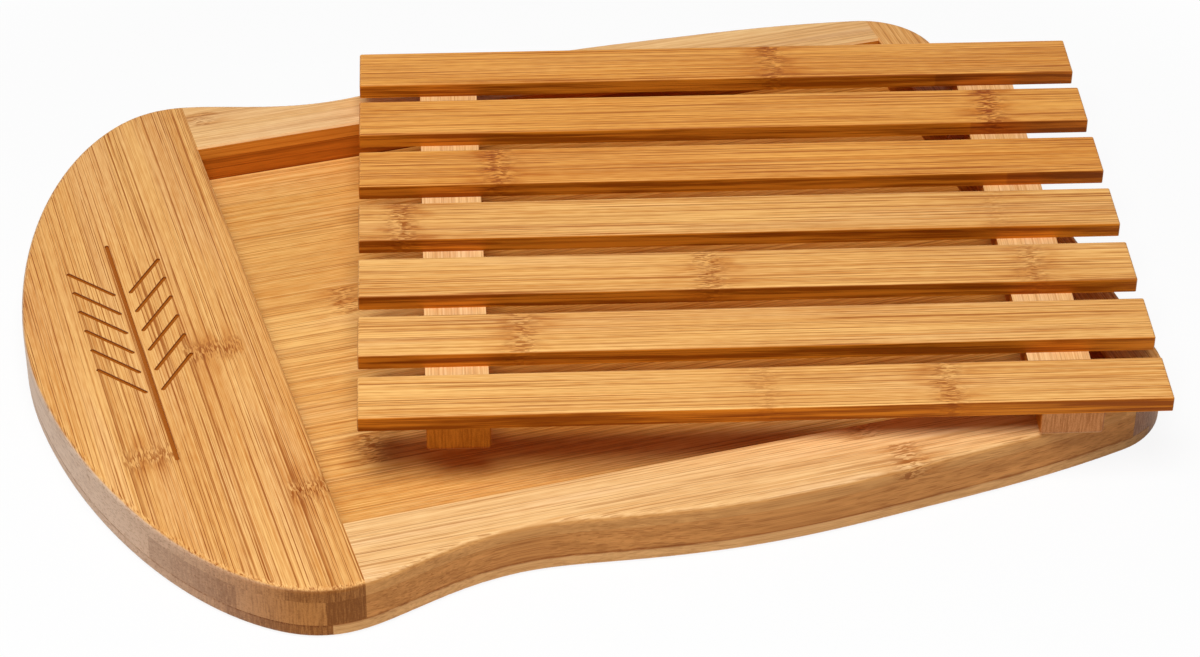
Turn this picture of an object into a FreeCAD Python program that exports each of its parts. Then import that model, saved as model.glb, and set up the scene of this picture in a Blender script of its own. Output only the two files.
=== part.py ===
import FreeCAD, Part
import math
import os

# Bread board with a crumb tray: a loaf-shaped bamboo tray and a slatted rack that lifts off it.
# Millimetres. The origin is the middle of the tray's underside. X runs along the board from the
# domed end to the square end, Y from the front to the back, and Z up.

# Rack stock
slat_count = 7
slat_length = 269.0
slat_width = 22.4
slat_gap = 11.0
slat_thickness = 5.6
slat_top_easing = 0.9
slat_corner_easing = 0.6
batten_width = 21.2
batten_inset = 22.5
batten_bottom_easing = 1.8
batten_corner_easing = 0.8

# Brads driven up through the battens into the slats
brad_diameter = 1.2
brad_head_diameter = 2.4
brad_head_thickness = 0.6
brad_bite = 3.2
brad_spread_along_slat = 10.0
brad_spread_across_slat = 11.0
brad_hole_clearance = 0.05

# Where the rack lies on the tray, from the middle of the recess, turned as it was put down
rack_shift_x = 35.7
rack_shift_y = -5.4
rack_turn_degrees = -14.3
rack_rest_gap = 0.3

# Tray layers, from the underside up
base_thickness = 5.0
core_thickness = 9.5
top_thickness = 5.5

# Recess, which takes the rack flush when it is put away, and what stands round it
rack_clearance = 0.9
rack_below_rim = 0.2
recess_rim_chamfer = 0.7
left_end_width = 81.8
right_end_width = 19.4
rail_width_at_dome = 30.6
rail_width_at_neck = 18.6
rail_width_at_belly = 27.8
rail_width_at_shoulder = 16.5
left_base_lap = 11.0
right_base_lap = 8.0

# Tray outline, seen from above
dome_exponent = 1.8
dome_steps = 9
dome_peak_to_recess = 8.3
recess_to_neck = 56.7
neck_to_belly = 90.0
shoulder_to_end = 22.6
outer_top_easing = 2.0
outer_bottom_easing = 1.6

# The side's bends between those places, each point as its shares of the way along and across
dome_to_neck_bend = ((0.32, 0.28), (0.63, 0.76))
neck_to_belly_bend = ((0.29, 0.34), (0.6, 0.78))
belly_to_shoulder_bend = ((0.36, 0.19), (0.7, 0.49))

# Engraved wheat ear on the domed end board
groove_width = 1.5
groove_depth = 0.7
ear_to_recess = 44.0
ear_centre_y = -3.0
ear_stem_length = 38.0
ear_grain_pairs = 6
ear_grain_pitch = 11.5
ear_grain_length = 21.0
ear_grain_angle_degrees = 38.0
ear_grain_offset = 3.0
ear_awn_length = 18.0

# Sizes that follow
slat_pitch = slat_width + slat_gap
rack_width = slat_count * slat_width + (slat_count - 1) * slat_gap
recess_depth = core_thickness + top_thickness
rack_height = recess_depth - rack_below_rim
batten_thickness = rack_height - slat_thickness
batten_centre_x = slat_length / 2 - batten_inset - batten_width / 2
recess_length = slat_length + 2 * rack_clearance
recess_width = rack_width + 2 * rack_clearance
tray_thickness = base_thickness + recess_depth
tray_length = left_end_width + recess_length + right_end_width
left_tip_x = -tray_length / 2
right_tip_x = tray_length / 2
recess_left_x = left_tip_x + left_end_width
recess_right_x = recess_left_x + recess_length
recess_centre_x = (recess_left_x + recess_right_x) / 2
dome_peak_x = recess_left_x - dome_peak_to_recess
dome_length = dome_peak_x - left_tip_x
dome_half_width = recess_width / 2 + rail_width_at_dome
neck_x = recess_left_x + recess_to_neck
neck_half_width = recess_width / 2 + rail_width_at_neck
belly_x = neck_x + neck_to_belly
belly_half_width = recess_width / 2 + rail_width_at_belly
shoulder_x = right_tip_x - shoulder_to_end
shoulder_half_width = recess_width / 2 + rail_width_at_shoulder
same_place = 0.01

os.makedirs("parts", exist_ok=True)


def save(name, shape):
    shape.exportStep(os.path.join("parts", name + ".step"))


def point(x, y, z=0.0):
    return FreeCAD.Vector(x, y, z)


def box(x_range, y_range, z_range):
    size = [high - low for low, high in (x_range, y_range, z_range)]
    corner = point(x_range[0], y_range[0], z_range[0])
    return Part.makeBox(size[0], size[1], size[2], corner)


def edges_at_height(shape, height):
    found = []
    for edge in shape.Edges:
        extent = edge.BoundBox
        if abs(extent.ZMin - height) < same_place and abs(extent.ZMax - height) < same_place:
            found.append(edge)
    return found


def upright_edges(shape):
    found = []
    for edge in shape.Edges:
        extent = edge.BoundBox
        if extent.XLength < same_place and extent.YLength < same_place:
            found.append(edge)
    return found


def dome_points():
    """The tip and a quarter of a superellipse, up to but not at the widest point at the back."""
    points = [point(left_tip_x, 0)]
    for step in range(dome_steps - 1, 0, -1):
        angle = math.pi / 2 * step / dome_steps
        reach = math.sin(angle) ** (2 / dome_exponent)
        spread = math.cos(angle) ** (2 / dome_exponent)
        points.append(point(dome_peak_x - dome_length * reach, dome_half_width * spread))
    return points


def side_points():
    """The back side: in at the neck, out at the belly, and down to the shoulder."""
    dome = point(dome_peak_x, dome_half_width)
    neck = point(neck_x, neck_half_width)
    belly = point(belly_x, belly_half_width)
    shoulder = point(shoulder_x, shoulder_half_width)
    runs = ((dome, neck, dome_to_neck_bend),
            (neck, belly, neck_to_belly_bend),
            (belly, shoulder, belly_to_shoulder_bend))
    points = [dome]
    for start, end, bend in runs:
        for along, across in bend:
            points.append(point(start.x + (end.x - start.x) * along,
                                start.y + (end.y - start.y) * across))
        points.append(end)
    return points


def long_curve():
    """One smooth curve from the front shoulder, round the dome, to the back shoulder."""
    back_half = dome_points() + side_points()
    front_half = [point(p.x, -p.y) for p in reversed(back_half[1:])]
    curve = Part.BSplineCurve()
    curve.interpolate(Points=front_half + back_half)
    return curve


def end_edges(curve):
    """The back corner's arc, which leaves the long curve smoothly, and half of the end."""
    start = curve.value(curve.LastParameter)
    heading = curve.tangent(curve.LastParameter)[0].normalize()
    slope = math.asin(-heading.y)
    radius = (right_tip_x - start.x) / (1 - math.sin(slope))
    centre = start.sub(point(math.sin(slope), math.cos(slope)).multiply(radius))

    def on_arc(angle):
        return centre.add(point(math.sin(angle), math.cos(angle)).multiply(radius))

    end = on_arc(math.pi / 2)
    corner = Part.Arc(start, on_arc((slope + math.pi / 2) / 2), end)
    return [corner.toShape(), Part.LineSegment(end, point(end.x, 0)).toShape()]


def outline_face():
    curve = long_curve()
    back_end = end_edges(curve)
    front_end = [edge.mirror(point(0, 0), point(0, 1)) for edge in back_end]
    return Part.Face(Part.Wire(Part.__sortEdges__([curve.toShape()] + back_end + front_end)))


def tray_blank():
    blank = outline_face().extrude(point(0, 0, tray_thickness))
    blank = blank.makeFillet(outer_top_easing, edges_at_height(blank, tray_thickness))
    return blank.makeFillet(outer_bottom_easing, edges_at_height(blank, 0.0))


def rim_cutter():
    """The chamfer round the recess's mouth, as one tapered block that is wider at its top."""
    height = 3 * recess_rim_chamfer
    flare = height - recess_rim_chamfer
    half_width = recess_width / 2
    wedge = Part.makeWedge(recess_left_x, 0, -half_width,
                           -half_width - flare, recess_left_x - flare,
                           recess_right_x, flare, half_width,
                           half_width + flare, recess_right_x + flare)
    wedge.rotate(point(0, 0, 0), point(1, 0, 0), 90)
    wedge.translate(point(0, 0, tray_thickness - recess_rim_chamfer))
    return wedge


def groove(start, end):
    """A cutter for a straight round-ended slot, twice as tall as the slot is deep."""
    run = end.sub(start)
    radius = groove_width / 2
    height = 2 * groove_depth
    slot = Part.makeBox(run.Length, groove_width, height, point(0, -radius, 0))
    slot.rotate(point(0, 0, 0), point(0, 0, 1), math.degrees(math.atan2(run.y, run.x)))
    slot.translate(start)
    for tip in (start, end):
        slot = slot.fuse(Part.makeCylinder(radius, height, tip))
    return slot.removeSplitter()


def ear_strokes():
    """Start and end of each stroke of the wheat ear, with the stem along Y."""
    angle = math.radians(ear_grain_angle_degrees)
    ear_length = ear_grain_pairs * ear_grain_pitch
    foot = -(ear_stem_length + ear_length + ear_awn_length) / 2
    first_pair = foot + ear_stem_length
    strokes = [(point(0, foot), point(0, first_pair + ear_length + ear_awn_length))]
    for pair in range(ear_grain_pairs):
        for side in (-1, 1):
            start = point(side * ear_grain_offset, first_pair + pair * ear_grain_pitch)
            reach = point(side * math.sin(angle), math.cos(angle)).multiply(ear_grain_length)
            strokes.append((start, start.add(reach)))
    return strokes


def wheat_ear():
    ear = Part.makeCompound([groove(start, end) for start, end in ear_strokes()])
    ear.translate(point(recess_left_x - ear_to_recess, ear_centre_y, tray_thickness - groove_depth))
    return ear


def tray_pieces():
    """Two end boards and two rails, each in layers, round the recess, and the panel under them."""
    blank = tray_blank()
    rim = rim_cutter()
    beyond = tray_length
    half_width = recess_width / 2
    everywhere = (-beyond, beyond)
    upper_layers = {"core": (base_thickness, base_thickness + core_thickness),
                    "top": (base_thickness + core_thickness, tray_thickness)}
    members = {"left_end": ((-beyond, recess_left_x), everywhere),
               "right_end": ((recess_right_x, beyond), everywhere),
               "front_rail": ((recess_left_x, recess_right_x), (-beyond, -half_width)),
               "back_rail": ((recess_left_x, recess_right_x), (half_width, beyond))}
    pieces = {}
    for member, (x_range, y_range) in members.items():
        for layer, z_range in upper_layers.items():
            ply = blank.common(box(x_range, y_range, z_range))
            pieces[member + "_" + layer + "_ply"] = ply.cut(rim)
    pieces["left_end_top_ply"] = pieces["left_end_top_ply"].cut(wheat_ear())

    base_left_x = recess_left_x - left_base_lap
    base_right_x = recess_right_x + right_base_lap
    base_members = {"left_end_bottom_ply": (-beyond, base_left_x),
                    "base_panel": (base_left_x, base_right_x),
                    "right_end_bottom_ply": (base_right_x, beyond)}
    for name, x_range in base_members.items():
        pieces[name] = blank.common(box(x_range, everywhere, (0.0, base_thickness)))
    return pieces


def slat_centre_y(number):
    """Slat 1 is at the back."""
    return (rack_width - slat_width) / 2 - (number - 1) * slat_pitch


def slat(number):
    middle = slat_centre_y(number)
    piece = box((-slat_length / 2, slat_length / 2),
                (middle - slat_width / 2, middle + slat_width / 2),
                (batten_thickness, rack_height))
    piece = piece.makeFillet(slat_corner_easing, upright_edges(piece))
    return piece.makeFillet(slat_top_easing, edges_at_height(piece, rack_height))


def batten(centre_x):
    piece = box((centre_x - batten_width / 2, centre_x + batten_width / 2),
                (-rack_width / 2, rack_width / 2),
                (0.0, batten_thickness))
    piece = piece.makeFillet(batten_corner_easing, upright_edges(piece))
    return piece.makeFillet(batten_bottom_easing, edges_at_height(piece, 0.0))


def brad(x, y, clearance=0.0):
    """A headed brad, its head flush with the batten's underside."""
    shank_length = batten_thickness + brad_bite + clearance
    head_thickness = brad_head_thickness + clearance
    shank = Part.makeCylinder(brad_diameter / 2 + clearance, shank_length, point(x, y))
    head = Part.makeCylinder(brad_head_diameter / 2 + clearance, head_thickness, point(x, y))
    return shank.fuse(head).removeSplitter()


def brad_places(centre_x):
    """Two brads for each slat, set corner to corner so that the slat can't turn."""
    places = []
    for number in range(1, slat_count + 1):
        for side in (-1, 1):
            places.append((centre_x + side * brad_spread_along_slat / 2,
                           slat_centre_y(number) + side * brad_spread_across_slat / 2))
    return places


def rack_pieces():
    """The rack in its own frame, with its underside at zero and its middle at the origin."""
    holes = []
    pieces = {}
    for side, centre_x in (("left", -batten_centre_x), ("right", batten_centre_x)):
        places = brad_places(centre_x)
        side_holes = [brad(x, y, brad_hole_clearance) for x, y in places]
        pieces[side + "_batten"] = batten(centre_x).cut(side_holes)
        pieces[side + "_batten_brads"] = Part.makeCompound([brad(x, y) for x, y in places])
        holes.extend(side_holes)
    for number in range(1, slat_count + 1):
        pieces["slat_" + str(number)] = slat(number).cut(holes)
    return pieces


def lay_rack(piece):
    """Move a piece from the rack's own frame to where the rack lies on the tray."""
    piece.rotate(point(0, 0, 0), point(0, 0, 1), rack_turn_degrees)
    piece.translate(point(recess_centre_x + rack_shift_x, rack_shift_y, tray_thickness + rack_rest_gap))
    return piece


for name, piece in tray_pieces().items():
    save(name, piece)
for name, piece in rack_pieces().items():
    save(name, lay_rack(piece))
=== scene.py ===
import math

import bpy
from mathutils import Matrix, Quaternion, Vector


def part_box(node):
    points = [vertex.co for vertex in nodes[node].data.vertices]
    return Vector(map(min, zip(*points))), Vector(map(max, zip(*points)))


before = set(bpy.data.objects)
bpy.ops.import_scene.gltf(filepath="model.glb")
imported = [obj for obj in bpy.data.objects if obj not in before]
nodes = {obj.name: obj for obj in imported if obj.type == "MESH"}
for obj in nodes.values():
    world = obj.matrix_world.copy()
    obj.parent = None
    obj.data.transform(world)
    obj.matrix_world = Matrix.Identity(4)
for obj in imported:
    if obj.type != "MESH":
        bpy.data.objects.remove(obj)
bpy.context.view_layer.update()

# Bamboo bread board with a crumb tray and a loose slatted rack. Metres, in the part's own frame:
# X runs along the board from the domed end to the square end, Y to the back, Z up.

# Places worked out from the frame
tray_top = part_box("left_end_top_ply")[1].z
recess_left_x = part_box("front_rail_core_ply")[0].x
recess_right_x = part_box("front_rail_core_ply")[1].x
recess_half_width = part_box("back_rail_core_ply")[0].y
board_tip_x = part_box("left_end_top_ply")[0].x
base_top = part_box("front_rail_core_ply")[0].z


def middle(node):
    low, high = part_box(node)
    return (low + high) / 2


# The rack's slats are numbered from the back one to the front one
FIRST_SLAT = 1
MIDDLE_SLAT = 4
LAST_SLAT = 7

rack_across = middle("slat_%d" % FIRST_SLAT) - middle("slat_%d" % LAST_SLAT)
rack_centre = (middle("slat_%d" % FIRST_SLAT) + middle("slat_%d" % LAST_SLAT)) / 2
rack_turn = -math.atan2(rack_across.x, rack_across.y)
slat_pitch = rack_across.length / (LAST_SLAT - FIRST_SLAT)

# Camera, solved from the photograph
camera_position = Vector((-0.27380, -0.90781, 0.70412))
camera_target = Vector((0.00664, -0.03395, 0.01756))
camera_roll = math.radians(0.71)
camera_lens_mm = 99.27
camera_sensor_mm = 36.0
camera_clip = (0.05, 20.0)

# Sockets of Blender's Mix node that carry colour
MIX_FIRST, MIX_SECOND, MIX_RESULT = 6, 7, 2


class Graph:
    """A material and short ways to add nodes to it. Every value may be a number or a socket."""

    def __init__(self, name):
        self.material = bpy.data.materials.new(name)
        self.material.use_nodes = True
        self.tree = self.material.node_tree
        self.tree.nodes.clear()

    def add(self, kind, **settings):
        node = self.tree.nodes.new(kind)
        for key, value in settings.items():
            setattr(node, key, value)
        return node

    def feed(self, socket, value):
        if isinstance(value, bpy.types.NodeSocket):
            self.tree.links.new(value, socket)
        elif value is not None:
            socket.default_value = value

    def math(self, operation, first, second=None, third=None):
        node = self.add("ShaderNodeMath", operation=operation)
        for socket, value in zip(node.inputs, (first, second, third)):
            self.feed(socket, value)
        return node.outputs[0]

    def times(self, first, second):
        return self.math("MULTIPLY", first, second)

    def plus(self, first, second):
        return self.math("ADD", first, second)

    def minus(self, first, second):
        return self.math("SUBTRACT", first, second)

    def without(self, value, share=1.0):
        """One, less a share of the value."""
        return self.math("MULTIPLY_ADD", value, -share, 1.0)

    def vector(self, operation, first, second=None, third=None):
        node = self.add("ShaderNodeVectorMath", operation=operation)
        for socket, value in zip(node.inputs, (first, second, third)):
            self.feed(socket, value)
        return node.outputs[0]

    def combine(self, x, y, z):
        node = self.add("ShaderNodeCombineXYZ")
        for socket, value in zip(node.inputs, (x, y, z)):
            self.feed(socket, value)
        return node.outputs[0]

    def split(self, vector):
        node = self.add("ShaderNodeSeparateXYZ")
        self.feed(node.inputs[0], vector)
        return node.outputs

    def smooth(self, value, low, high, start=0.0, end=1.0):
        """From start to end as value goes from low to high, eased at both ends."""
        node = self.add("ShaderNodeMapRange", interpolation_type="SMOOTHSTEP")
        for socket, number in zip(node.inputs, (value, low, high, start, end)):
            self.feed(socket, number)
        return node.outputs[0]

    def noise(self, vector, detail=0.0, roughness=0.5):
        node = self.add("ShaderNodeTexNoise")
        self.feed(node.inputs["Vector"], vector)
        self.feed(node.inputs["Scale"], 1.0)
        self.feed(node.inputs["Detail"], detail)
        self.feed(node.inputs["Roughness"], roughness)
        return node.outputs["Fac"]

    def mix(self, factor, first, second, blend="MIX"):
        node = self.add("ShaderNodeMix", data_type="RGBA", blend_type=blend)
        self.feed(node.inputs["Factor"], factor)
        self.feed(node.inputs[MIX_FIRST], first)
        self.feed(node.inputs[MIX_SECOND], second)
        return node.outputs[MIX_RESULT]

    def surface(self, shader):
        output = self.add("ShaderNodeOutputMaterial")
        self.feed(output.inputs["Surface"], shader)


def colour(red, green, blue):
    """A colour as it looks on screen, from 0 to 255, for a shader, by the sRGB curve."""
    linear = []
    for part in (red / 255, green / 255, blue / 255):
        linear.append(part / 12.92 if part < 0.04045 else ((part + 0.055) / 1.055) ** 2.4)
    return (*linear, 1.0)


# Tones of the cane, each a light and a dark one, between which the fibre runs
HONEY = (colour(252, 199, 124), colour(206, 132, 58))
GOLD = (colour(255, 201, 122), colour(208, 134, 58))
AMBER = (colour(251, 184, 94), colour(202, 119, 38))
STRAW = (colour(255, 210, 148), colour(222, 162, 96))
SAWN = (colour(226, 164, 96), colour(188, 128, 68))
SAWN_CORE = (colour(218, 150, 82), colour(176, 114, 56))
SAWN_BASE = (colour(234, 180, 118), colour(200, 146, 88))
PANEL = (colour(254, 204, 124), colour(210, 136, 54))
ROSY = (colour(236, 204, 176), colour(206, 168, 138))
END_GRAIN = (colour(192, 128, 66), colour(134, 78, 30))
GREY_END = (colour(188, 140, 108), colour(134, 92, 68))
# End grain of the battens' front ends: END_BATTEN for the right one, and a copy painted as shade for the
# left one, which lies inside the recess
END_BATTEN = (colour(205, 137, 82), colour(164, 98, 48))
SHADE_PAINTED_BATTEN_END = (colour(204, 118, 32), colour(158, 82, 14))
# Painted shade: tones for upright faces that lie in shade, the rack's sides and the recess's walls, darker
# and more orange than the cane's own sides
SHADED = (colour(216, 126, 30), colour(152, 74, 7))
TOP_WALL_PAINTED_SHADE = (colour(240, 154, 56), colour(186, 100, 18))
LOW_WALL_PAINTED_SHADE = (colour(206, 114, 28), colour(140, 66, 7))
DEEP_SHADE = (colour(196, 106, 26), colour(132, 62, 8))
# The colour of the engraving's burnt grooves
BURNT = colour(160, 86, 18)

# What the paint under a mark is multiplied by, in linear light
DARK_FIBRE = (0.46, 0.25, 0.09, 1.0)
KNUCKLE_TINT = (0.74, 0.52, 0.28, 1.0)
# Painted shade under the rack, on the base panel's flat faces
UNDER_RACK_SHADE_TINT = (0.98, 0.77, 0.46, 1.0)
# What pale blush on the flat faces multiplies the paint by
PALER = (1.0, 1.06, 1.45, 1.0)


class Tones:
    """The pairs of tones for a piece's faces, sawn sides, end grain and recess walls; the walls' tone is
    painted shade.
    """

    def __init__(self, face, side, end=END_GRAIN, wall_shade=SHADED):
        self.face = face
        self.side = side
        self.end = end
        self.wall_shade = wall_shade


class Grain:
    """Which way a piece's grain runs, and from what origin its pattern is laid out."""

    def __init__(self, turn, origin=(0.0, 0.0)):
        self.turn = turn
        self.direction = (math.cos(turn), math.sin(turn), 0.0)
        self.rotation = Matrix.Rotation(-turn, 3, "Z")
        self.shift = -(self.rotation @ Vector((origin[0], origin[1], 0.0)))

    def place(self, x, y):
        """A place on the part, as a place along and across the grain."""
        spot = self.rotation @ Vector((x, y, 0.0)) + self.shift
        return spot.x, spot.y


LENGTHWISE = Grain(0.0)
CROSSWISE = Grain(math.pi / 2)
RACK_LONG = Grain(rack_turn, rack_centre.xy)
RACK_CROSS = Grain(rack_turn + math.pi / 2, rack_centre.xy)


def stretched(graph, place, along, across, seed):
    """Coordinates that run slowly along the grain and quickly across it."""
    return graph.vector("MULTIPLY_ADD", place, (along, across, across), (seed, seed * 1.7, seed * 2.3))


def bell(graph, offset, reach):
    """One where the offset is zero, falling off on both sides."""
    squared = graph.times(offset, offset)
    return graph.math("EXPONENT", graph.times(squared, -1.0 / reach ** 2))


# Along the grain, where a knuckle's ticks, tangle and tint have their middle, and how far they reach
KNUCKLE_SHAPES = ((0.0, 0.0055), (0.0010, 0.0045), (0.0006, 0.0120))
KNUCKLE_EDGE = 0.0015


def knuckle_masks(graph, along, across, ripple, marks):
    """A knuckle's row of dark ticks, the pale tangled fibre beside it, and the tint round both."""
    masks = [0.0] * len(KNUCKLE_SHAPES)
    for mark_along, mark_across, half_width, strength in marks:
        offset = graph.plus(graph.minus(along, mark_along), ripple)
        aside = graph.math("ABSOLUTE", graph.minus(across, mark_across))
        inside = graph.smooth(aside, half_width, half_width - KNUCKLE_EDGE)
        for number, (centre, reach) in enumerate(KNUCKLE_SHAPES):
            mask = graph.times(bell(graph, graph.minus(offset, centre), reach), inside)
            masks[number] = graph.math("MAXIMUM", masks[number], graph.times(mask, strength))
    return masks


# How far outside the recess's outline the painted shade on its walls is still full, and where it ends
WALL_FULL = 0.0015
WALL_END = 0.0025


def inside_recess(graph, place):
    """One on the walls round the recess, zero on the outside of the board."""
    x, y, _ = graph.split(place)
    lengthwise = graph.times(graph.smooth(x, recess_left_x - WALL_END, recess_left_x - WALL_FULL),
                             graph.smooth(x, recess_right_x + WALL_END, recess_right_x + WALL_FULL))
    crosswise = graph.smooth(graph.math("ABSOLUTE", y),
                             recess_half_width + WALL_END, recess_half_width + WALL_FULL)
    return graph.times(lengthwise, crosswise)


BLOCK_EDGE = 0.0002


def block_shade(graph, x, blocks):
    """The shade of each glued-up block, which changes in steps along the board."""
    shade = blocks[0][1]
    for (_, before), (start, after) in zip(blocks, blocks[1:]):
        step = graph.smooth(x, start - BLOCK_EDGE, start + BLOCK_EDGE, 0.0, after - before)
        shade = graph.plus(shade, step)
    return shade


# The engraving's grooves: how deep below the top their colour starts and is full, how far in from
# the board's tip and from the recess they lie, and how far they reach to each side
GROOVE_DEPTHS = (0.00015, 0.0004)
GROOVE_MARGIN = 0.018
GROOVE_HALF_SPAN = 0.070
GROOVE_EDGE = 0.001


def groove_mask(graph, place):
    """The cut faces of the engraving: what lies just under the top, well inside the outline."""
    x, y, z = graph.split(place)
    below = graph.smooth(z, tray_top - GROOVE_DEPTHS[0], tray_top - GROOVE_DEPTHS[1])
    left = board_tip_x + GROOVE_MARGIN
    right = recess_left_x - GROOVE_MARGIN
    inside = graph.times(graph.smooth(x, left, left + GROOVE_EDGE),
                         graph.smooth(x, right, right - GROOVE_EDGE))
    aside = graph.smooth(graph.math("ABSOLUTE", y), GROOVE_HALF_SPAN, GROOVE_HALF_SPAN - GROOVE_EDGE)
    return graph.times(below, graph.times(inside, aside))


# The cane's noises: how fast each changes along and across the grain, per metre, where in the noise
# it starts, and its detail and roughness
BROAD = (7, 45, 11, 1.0)
STREAKS = (4, 420, 13)
GRIT = (180, 1500, 71)
SAW_MARKS = (12, 420, 81, 3.0, 0.65)
LINES = (2.5, 1600, 31)
BLUSH = (9, 110, 61, 1.0)
PATCHES = (80, 260, 55, 1.0)
DASHES = (300, 1600, 51)
FLECKS = (500, 1900, 53)
# The same without the first number, which is the piece's own
FINE = (2500, 21, 2.0, 0.6)
HAIRLINES = (2100, 35)
BREAKS = (1000, 33, 1.0)
# How many times as fast the breaks in the pores follow each other along the grain
BREAK_RUN = 4
# Rates and start of the waves that bend the fibre, and how far each bends it
RIPPLE, RIPPLE_REACH = (20, 180, 0), 0.0025
SWAY, SWAY_REACH = (7, 40, 3), 0.0006
KNOT, KNOT_REACH = (200, 300, 4), 0.0007
# Rates and starts of the end grain's specks along, across and up
RAY_RATES = (300, 1900, 160)
RAY_STARTS = (0, 5, 9)

# Which part of a noise makes marks: where a mark starts and where it is full
LINE_CUT = (0.64, 0.70)
HAIRLINE_CUT = (0.57, 0.64)
BREAK_CUT = (0.36, 0.54)
BLUSH_CUT = (0.46, 0.64)
PATCH_CUT = (0.40, 0.64)
DASH_CUT = (0.53, 0.58)
FLECK_CUT = (0.54, 0.60)

# How much each noise moves the tone
FINE_SHARE = 2.0
BROAD_SHARE = 0.7
STREAK_SHARE = 0.12
GRIT_SHARE = 0.5
RAY_SHARE = 1.8
UPRIGHT_CALM = 0.45
TONE_ENDS = (-0.2, 1.2)

# How strong the marks are
LINE_STRENGTH = 0.7
PALE_STRENGTH = 0.25
PATCH_LEAST = 0.1
TANGLE_STRENGTH = 0.2
SEAM_STRENGTH = 0.25
FLECK_STRENGTH = 0.7
SAWN_PORE_LOSS = 0.5
HIDDEN_PORE_LOSS = 0.8

# Sizes of the seams between strips and of the glue line between layers
SEAM_EDGES = (0.00035, 0.0001)
GLUE_REACH = 0.00055
GLUE_LEAST = 0.3
GLUE_RANGE = 0.5

# Where a face counts as upright by its normal's height, and as end grain by its normal's run
UPRIGHT_CUT = (0.8, 0.4)
END_GRAIN_CUT = (0.15, 0.95)

# How far apart in the noise one strip's fibre lies from the next one's, along and up
STRIP_JUMP = (40.0, 17.0)

CANE_SPECULAR = 0.1
CANE_ROUGHNESS = (0.36, 0.22)
RELIEF_STRENGTH = 0.5
RELIEF_HEIGHT = 0.00012
PORE_RELIEF = 0.7
MARK_RELIEF = 0.8


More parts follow.
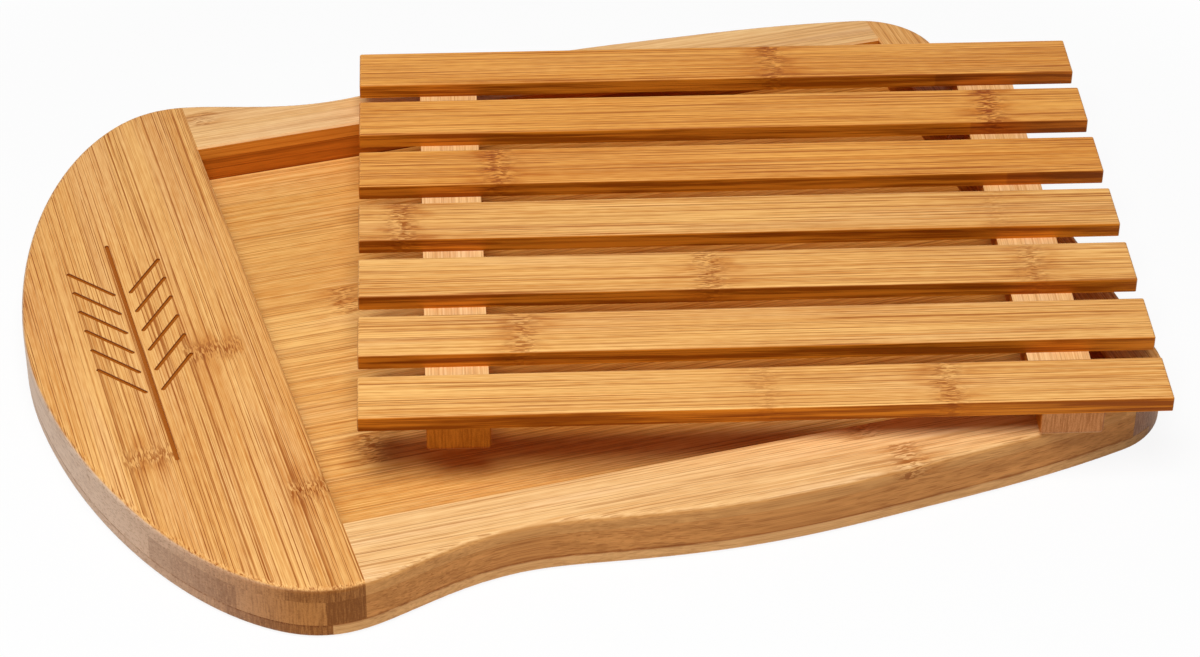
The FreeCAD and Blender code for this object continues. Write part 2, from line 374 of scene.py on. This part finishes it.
def bamboo(name, grain, seed, tones, strip_width=0.022, strip_shift=0.0, strip_contrast=0.16,
           run=5.0, contrast=1.0, side_contrast=1.8, threading=0.7, marks=(), blocks=(), joint=None,
           under_rack_shade=None, engraved=False):
    """Strips of flat-pressed cane, with fine fibre, dark pores, knuckles and thin seams.

    run is how fast the fine fibre changes along the grain, threading how dark the pores are, joint
    the height of a glue line. The stretches of x and y given for the painted shade under the rack mark
    where flat faces are painted darker and more orange.
    """
    graph = Graph(name)
    coordinates = graph.add("ShaderNodeTexCoord")
    position = coordinates.outputs["Object"]
    mapping = graph.add("ShaderNodeMapping")
    graph.feed(mapping.inputs["Vector"], position)
    mapping.inputs["Rotation"].default_value = (0.0, 0.0, -grain.turn)
    mapping.inputs["Location"].default_value = grain.shift
    place = mapping.outputs[0]
    along, across, height = graph.split(place)
    x, y, z = graph.split(position)

    def part(value, share):
        """How far a noise lies off its middle, times a share of the tone."""
        return graph.times(graph.minus(value, 0.5), share)

    # What kind of face it is: a top or underside, a sawn side or end grain
    normal = coordinates.outputs["Normal"]
    upright = graph.smooth(graph.math("ABSOLUTE", graph.split(normal)[2]), *UPRIGHT_CUT)
    flat = graph.without(upright)
    facing = graph.add("ShaderNodeVectorMath", operation="DOT_PRODUCT")
    graph.feed(facing.inputs[0], normal)
    graph.feed(facing.inputs[1], grain.direction)
    end_grain = graph.smooth(graph.math("ABSOLUTE", facing.outputs["Value"]), *END_GRAIN_CUT)
    cross_cut = graph.times(upright, end_grain)
    sawn = graph.minus(upright, cross_cut)

    def wave(rates, reach):
        swing = graph.noise(stretched(graph, place, rates[0], rates[1], seed + rates[2]), 1.0)
        return graph.math("MULTIPLY_ADD", swing, 2 * reach, -reach)

    ticks, tangle, tint = knuckle_masks(graph, along, across, wave(RIPPLE, RIPPLE_REACH), marks)
    swayed = graph.plus(across, wave(SWAY, SWAY_REACH))
    bent = graph.plus(swayed, graph.times(wave(KNOT, KNOT_REACH), tangle))
    bent_place = graph.combine(along, bent, height)

    # Each strip of cane has a tone and a fibre of its own
    strip = graph.math("DIVIDE", graph.plus(across, strip_shift), strip_width)
    strip_number = graph.math("FLOOR", strip)
    pick = graph.add("ShaderNodeTexWhiteNoise", noise_dimensions="1D")
    graph.feed(pick.inputs["W"], graph.plus(strip_number, seed))
    strip_tone = pick.outputs["Value"]
    strip_jump = graph.combine(graph.times(strip_tone, STRIP_JUMP[0]), 0.0,
                               graph.times(strip_tone, STRIP_JUMP[1]))

    def fibre(along_rate, across_rate, start, detail=0.0, roughness=0.5):
        spot = stretched(graph, bent_place, along_rate, across_rate, seed + start)
        return graph.noise(graph.vector("ADD", spot, strip_jump), detail, roughness)

    # Pores: thin dark threads, broken along the grain, fewer on cut faces and at knuckles
    fine = fibre(run, *FINE)
    lines = graph.smooth(fibre(*LINES), *LINE_CUT)
    hairlines = graph.smooth(fibre(run, *HAIRLINES), *HAIRLINE_CUT)
    lines = graph.math("MAXIMUM", graph.times(lines, LINE_STRENGTH), hairlines)
    broken = graph.smooth(fibre(BREAK_RUN * run, *BREAKS), *BREAK_CUT)
    pores = graph.times(graph.times(lines, broken), graph.without(sawn, SAWN_PORE_LOSS))
    pores = graph.times(pores, graph.without(cross_cut, HIDDEN_PORE_LOSS))
    pores = graph.times(pores, graph.without(tangle, HIDDEN_PORE_LOSS))

    # Tone, from 0 for the dark to 1 for the light one of the pair
    slow = graph.plus(part(fibre(*BROAD), BROAD_SHARE), part(fibre(*STREAKS), STREAK_SHARE))
    tone = graph.plus(part(fine, FINE_SHARE * contrast), slow)
    tone = graph.plus(tone, part(fibre(*GRIT), GRIT_SHARE))
    tone = graph.times(tone, graph.without(upright, UPRIGHT_CALM))
    tone = graph.plus(tone, graph.times(part(fibre(*SAW_MARKS), side_contrast), sawn))
    ray_starts = tuple(seed + start for start in RAY_STARTS)
    rays = graph.noise(graph.vector("MULTIPLY_ADD", place, RAY_RATES, ray_starts), 1.0)
    tone = graph.plus(tone, graph.times(part(rays, RAY_SHARE), cross_cut))
    if blocks:
        own = graph.times(graph.minus(block_shade(graph, x, blocks), 0.5), upright)
    else:
        own = part(strip_tone, 2 * strip_contrast)
    tone = graph.smooth(graph.plus(graph.plus(tone, own), 0.5), *TONE_ENDS)

    # Upright faces take the side and end tones; on the recess's walls the tone is painted shade
    walls = inside_recess(graph, position)
    pair = []
    for face, side, end, wall_shade in zip(tones.face, tones.side, tones.end, tones.wall_shade):
        shade = graph.mix(end_grain, side, end)
        if tones.wall_shade is not tones.side:
            shade = graph.mix(walls, shade, wall_shade)
        pair.append(graph.mix(upright, face, shade))
    light, dark = pair
    paint = graph.mix(tone, dark, light)

    # Marks over the tone
    blush = graph.times(graph.smooth(fibre(*BLUSH), *BLUSH_CUT), flat)
    paint = graph.mix(graph.times(blush, PALE_STRENGTH), paint, PALER, "MULTIPLY")
    patchy = graph.smooth(fibre(*PATCHES), *PATCH_CUT, PATCH_LEAST, 1.0)
    paint = graph.mix(graph.times(tint, patchy), paint, KNUCKLE_TINT, "MULTIPLY")
    paint = graph.mix(graph.times(tangle, TANGLE_STRENGTH), paint, light)
    paint = graph.mix(graph.times(pores, threading), paint, DARK_FIBRE, "MULTIPLY")
    if strip_width < slat_pitch:
        # Only a piece that is wider than one strip has seams
        within = graph.minus(strip, strip_number)
        to_seam = graph.times(graph.math("MINIMUM", within, graph.minus(1.0, within)), strip_width)
        seam = graph.times(graph.smooth(to_seam, *SEAM_EDGES), flat)
        paint = graph.mix(graph.times(seam, SEAM_STRENGTH), paint, DARK_FIBRE, "MULTIPLY")
    if joint is not None:
        glue = graph.times(bell(graph, graph.minus(z, joint), GLUE_REACH), upright)
        glue = graph.times(glue, graph.math("MULTIPLY_ADD", broken, GLUE_RANGE, GLUE_LEAST))
        paint = graph.mix(glue, paint, DARK_FIBRE, "MULTIPLY")
    dashes = graph.times(graph.smooth(fibre(*DASHES), *DASH_CUT), ticks)
    flecks = graph.times(graph.smooth(fibre(*FLECKS), *FLECK_CUT), tangle)
    marking = graph.math("MAXIMUM", dashes, graph.times(flecks, FLECK_STRENGTH))
    paint = graph.mix(marking, paint, DARK_FIBRE, "MULTIPLY")
    # Painted shade under the rack: flat faces painted darker and more orange over the given stretch
    if under_rack_shade is not None:
        shade_under_rack = graph.times(graph.smooth(x, *under_rack_shade[0]), graph.smooth(y, *under_rack_shade[1]))
        paint = graph.mix(graph.times(shade_under_rack, flat), paint, UNDER_RACK_SHADE_TINT, "MULTIPLY")
    if engraved:
        paint = graph.mix(groove_mask(graph, position), paint, BURNT)

    shader = graph.add("ShaderNodeBsdfPrincipled")
    least, spread = CANE_ROUGHNESS
    graph.feed(shader.inputs["Base Color"], paint)
    graph.feed(shader.inputs["Roughness"], graph.math("MULTIPLY_ADD", fine, spread, least))
    shader.inputs["Specular IOR Level"].default_value = CANE_SPECULAR
    bump = graph.add("ShaderNodeBump")
    bump.inputs["Strength"].default_value = RELIEF_STRENGTH
    bump.inputs["Distance"].default_value = RELIEF_HEIGHT
    relief = graph.minus(fine, graph.times(pores, PORE_RELIEF))
    relief = graph.minus(relief, graph.times(marking, MARK_RELIEF))
    graph.feed(bump.inputs["Height"], relief)
    graph.feed(shader.inputs["Normal"], bump.outputs[0])
    graph.surface(shader.outputs[0])
    return graph.material


STEEL = (colour(150, 148, 142), colour(198, 196, 190))
SCRATCHES = (900, 4000, 5)
STEEL_ROUGHNESS = (0.25, 0.25)


def brad_steel():
    graph = Graph("brad_steel")
    coordinates = graph.add("ShaderNodeTexCoord")
    scratches = graph.noise(stretched(graph, coordinates.outputs["Object"], *SCRATCHES), 3.0, 0.6)
    shader = graph.add("ShaderNodeBsdfPrincipled")
    least, spread = STEEL_ROUGHNESS
    graph.feed(shader.inputs["Base Color"], graph.mix(scratches, *STEEL))
    shader.inputs["Metallic"].default_value = 1.0
    graph.feed(shader.inputs["Roughness"], graph.math("MULTIPLY_ADD", scratches, spread, least))
    graph.surface(shader.outputs[0])
    return graph.material


def finish_node(node, material):
    data = nodes[node].data
    data.materials.clear()
    data.materials.append(material)


# Knuckles of the cane, as they lie on the board in the photograph: place, half the width across the
# grain, and strength from 0 to 1. On a slat: place along it from its middle, and strength.
END_BOARD_MARKS = ((-0.1098, -0.0925, 0.0080, 1.0), (-0.1245, -0.0110, 0.0110, 0.85),
                   (-0.1562, -0.0615, 0.0100, 0.85))
FLOOR_MARKS = ((-0.0700, 0.0240, 0.0090, 0.8), (-0.0825, -0.0600, 0.0090, 0.9))
FRONT_RAIL_MARKS = ((0.0732, -0.1163, 0.0045, 0.7), (0.0815, -0.1330, 0.0080, 0.8))
BACK_RAIL_MARKS = ((-0.0992, 0.1312, 0.0050, 0.7),)
SLAT_MARKS = {
    1: ((0.0208, 0.9),),
    2: ((0.0988, 1.0),),
    3: ((-0.0852, 1.0),),
    4: ((-0.1197, 1.0), (0.0910, 0.3)),
    5: ((-0.0135, 0.9), (0.0990, 0.7)),
    6: ((-0.0798, 0.8),),
    7: ((0.0604, 0.8), (-0.0006, 0.4)),
}
SLAT_MARK_HALF_WIDTH = 0.012

# Where the end boards' glued-up blocks start along the board, and how light each is, from 0 to 1
TOP_BLOCKS = ((-1.0, 0.75), (-0.1290, 0.25))
CORE_BLOCKS = ((-1.0, 0.90), (-0.1641, 0.25), (-0.1424, 0.85), (-0.1171, 0.0))
BOTTOM_BLOCKS = ((-1.0, 0.55), (-0.1450, 0.30))

# Widths of the strips that the end boards, rails and base panel are glued up from
END_STRIP = 0.0235
RAIL_STRIP = 0.021
PANEL_STRIP = 0.024

# Over which stretch of x and of y the base panel's flat faces are painted darker and more orange, as painted
# shade under the rack
PANEL_UNDER_RACK_SHADE = ((-0.075, -0.01), (-0.098, -0.060))

# Seeds of the slats' patterns
SLAT_SEED = 40.0
SLAT_SEED_STEP = 7


def on_grain(grain, marks):
    return [(*grain.place(x, y), half_width, strength) for x, y, half_width, strength in marks]


def finish_tray():
    end_board = Tones(HONEY, ROSY)
    finish_node("left_end_top_ply",
                bamboo("end_board_face", CROSSWISE, 3.0, end_board, END_STRIP, strip_shift=0.004,
                       threading=0.85, marks=on_grain(CROSSWISE, END_BOARD_MARKS), blocks=TOP_BLOCKS,
                       engraved=True))
    finish_node("left_end_core_ply",
                bamboo("end_board_core", CROSSWISE, 14.0, end_board, blocks=CORE_BLOCKS))
    finish_node("left_end_bottom_ply",
                bamboo("end_board_bottom", CROSSWISE, 19.0, end_board, blocks=BOTTOM_BLOCKS, joint=base_top))

    square_end = Tones(HONEY, SAWN, end=GREY_END)
    finish_node("right_end_top_ply",
                bamboo("square_end_face", CROSSWISE, 9.0, square_end, END_STRIP, threading=0.45))
    finish_node("right_end_core_ply", bamboo("square_end_core", CROSSWISE, 15.0, square_end))
    finish_node("right_end_bottom_ply", bamboo("square_end_bottom", CROSSWISE, 20.0, square_end))

    finish_node("front_rail_top_ply",
                bamboo("front_rail_face", LENGTHWISE, 23.0, Tones(STRAW, SAWN), RAIL_STRIP,
                       strip_shift=0.003, run=8.0, threading=0.5,
                       marks=on_grain(LENGTHWISE, FRONT_RAIL_MARKS)))
    finish_node("back_rail_top_ply",
                bamboo("back_rail_face", LENGTHWISE, 29.0, Tones(STRAW, SAWN, wall_shade=TOP_WALL_PAINTED_SHADE), RAIL_STRIP,
                       strip_shift=0.003, threading=0.35, marks=on_grain(LENGTHWISE, BACK_RAIL_MARKS)))
    rail_core = bamboo("rail_core", LENGTHWISE, 31.0, Tones(STRAW, SAWN_CORE, wall_shade=LOW_WALL_PAINTED_SHADE), RAIL_STRIP,
                       joint=base_top)
    finish_node("front_rail_core_ply", rail_core)
    finish_node("back_rail_core_ply", rail_core)
    finish_node("base_panel",
                bamboo("base_panel", LENGTHWISE, 37.0, Tones(PANEL, SAWN_BASE), PANEL_STRIP,
                       strip_shift=0.002, strip_contrast=0.10, threading=0.5,
                       marks=on_grain(LENGTHWISE, FLOOR_MARKS), joint=base_top, under_rack_shade=PANEL_UNDER_RACK_SHADE))


def finish_rack():
    for number, places in SLAT_MARKS.items():
        across = (MIDDLE_SLAT - number) * slat_pitch
        marks = [(along, across, SLAT_MARK_HALF_WIDTH, strength) for along, strength in places]
        # The slats' sides are painted shade: SHADED, and the darker DEEP_SHADE on the three at the back
        tones = Tones(GOLD, SHADED, end=SAWN)
        if number < MIDDLE_SLAT:
            tones = Tones(AMBER, DEEP_SHADE, end=SAWN)
        finish_node("slat_%d" % number,
                    bamboo("slat_%d" % number, RACK_LONG, SLAT_SEED + SLAT_SEED_STEP * number, tones,
                           slat_pitch, slat_pitch / 2, strip_contrast=0.0, run=6.0, contrast=1.25,
                           side_contrast=6.0, threading=0.75, marks=marks))
    # The battens' sides are painted shade, and so is the left batten's end, inside the recess; the right
    # batten's end keeps END_BATTEN
    for side, end, seed in (("left", SHADE_PAINTED_BATTEN_END, 97.0), ("right", END_BATTEN, 104.0)):
        finish_node(side + "_batten",
                    bamboo(side + "_batten", RACK_CROSS, seed, Tones(STRAW, SHADED, end=end), slat_pitch,
                           strip_contrast=0.0, threading=0.3))
    steel = brad_steel()
    finish_node("left_batten_brads", steel)
    finish_node("right_batten_brads", steel)


FLOOR_REACH = 3.0
FLOOR_DROP = 0.0002
FLOOR_WHITE = 0.86

# How much of the floor that the camera sees takes the shadow, and from how far out it fades to white
SHADOW_SHARE = 0.10
SHADOW_REACH = (0.24, 0.42)


def seen_directly(graph):
    """One where the camera sees a surface itself, in a mirror or through glass."""
    path = graph.add("ShaderNodeLightPath")
    seen = graph.math("MAXIMUM", path.outputs["Is Camera Ray"], path.outputs["Is Glossy Ray"])
    return graph.math("MAXIMUM", seen, path.outputs["Is Transmission Ray"])


def make_floor():
    mesh = bpy.data.meshes.new("floor")
    reach = FLOOR_REACH
    corners = [(-reach, -reach, 0), (reach, -reach, 0), (reach, reach, 0), (-reach, reach, 0)]
    mesh.from_pydata(corners, [], [(0, 1, 2, 3)])
    floor = bpy.data.objects.new("floor", mesh)
    floor.location.z = -FLOOR_DROP
    bpy.context.scene.collection.objects.link(floor)
    graph = Graph("floor_white")
    diffuse = graph.add("ShaderNodeBsdfDiffuse")
    diffuse.inputs["Color"].default_value = (FLOOR_WHITE, FLOOR_WHITE, FLOOR_WHITE, 1.0)
    glow = graph.add("ShaderNodeEmission")
    glow.inputs["Color"].default_value = (1.0, 1.0, 1.0, 1.0)
    glow.inputs["Strength"].default_value = 1.0
    coordinates = graph.add("ShaderNodeTexCoord")
    distance = graph.add("ShaderNodeVectorMath", operation="LENGTH")
    graph.feed(distance.inputs[0], coordinates.outputs["Object"])
    white = graph.smooth(distance.outputs["Value"], *SHADOW_REACH, 1.0 - SHADOW_SHARE, 1.0)
    blend = graph.add("ShaderNodeMixShader")
    graph.feed(blend.inputs[0], graph.times(seen_directly(graph), white))
    graph.feed(blend.inputs[1], diffuse.outputs[0])
    graph.feed(blend.inputs[2], glow.outputs[0])
    graph.surface(blend.outputs[0])
    mesh.materials.append(graph.material)


WORLD_LIGHT = 0.13
WORLD_SEEN = 1.0


def make_world():
    world = bpy.data.worlds.new("studio")
    world.use_nodes = True
    bpy.context.scene.world = world
    tree = world.node_tree
    tree.nodes.clear()
    path = tree.nodes.new("ShaderNodeLightPath")
    mirrored = tree.nodes.new("ShaderNodeMath")
    mirrored.operation = "MAXIMUM"
    tree.links.new(path.outputs["Is Glossy Ray"], mirrored.inputs[0])
    tree.links.new(path.outputs["Is Transmission Ray"], mirrored.inputs[1])
    seen = tree.nodes.new("ShaderNodeMath")
    seen.operation = "MAXIMUM"
    tree.links.new(path.outputs["Is Camera Ray"], seen.inputs[0])
    tree.links.new(mirrored.outputs[0], seen.inputs[1])
    strength = tree.nodes.new("ShaderNodeMapRange")
    tree.links.new(seen.outputs[0], strength.inputs["Value"])
    strength.inputs["To Min"].default_value = WORLD_LIGHT
    strength.inputs["To Max"].default_value = WORLD_SEEN
    background = tree.nodes.new("ShaderNodeBackground")
    background.inputs["Color"].default_value = (1.0, 1.0, 1.0, 1.0)
    tree.links.new(strength.outputs[0], background.inputs["Strength"])
    output = tree.nodes.new("ShaderNodeOutputWorld")
    tree.links.new(background.outputs[0], output.inputs["Surface"])


KEY_PLACE = (-0.25, -0.43, 1.22)
KEY_TARGET = (0.0, 0.0, 0.0)
KEY_SIZE = 0.75
KEY_POWER = 17.2


def area_light(name, place, target, size, power):
    data = bpy.data.lights.new(name, "AREA")
    data.shape = "SQUARE"
    data.size = size
    data.energy = power
    lamp = bpy.data.objects.new(name, data)
    lamp.location = place
    lamp.rotation_euler = (Vector(target) - Vector(place)).to_track_quat("-Z", "Y").to_euler()
    bpy.context.scene.collection.objects.link(lamp)


def make_camera():
    data = bpy.data.cameras.new("camera")
    data.lens = camera_lens_mm
    data.sensor_width = camera_sensor_mm
    data.clip_start, data.clip_end = camera_clip
    camera = bpy.data.objects.new("camera", data)
    camera.location = camera_position
    looking = (camera_target - camera_position).to_track_quat("-Z", "Y")
    rolled = looking @ Quaternion((0.0, 0.0, 1.0), camera_roll)
    camera.rotation_euler = rolled.to_euler()
    bpy.context.scene.collection.objects.link(camera)
    bpy.context.scene.camera = camera


make_camera()
finish_tray()
finish_rack()
make_floor()
make_world()
area_light("key", KEY_PLACE, KEY_TARGET, KEY_SIZE, KEY_POWER)
bpy.context.scene.view_settings.view_transform = "Standard"
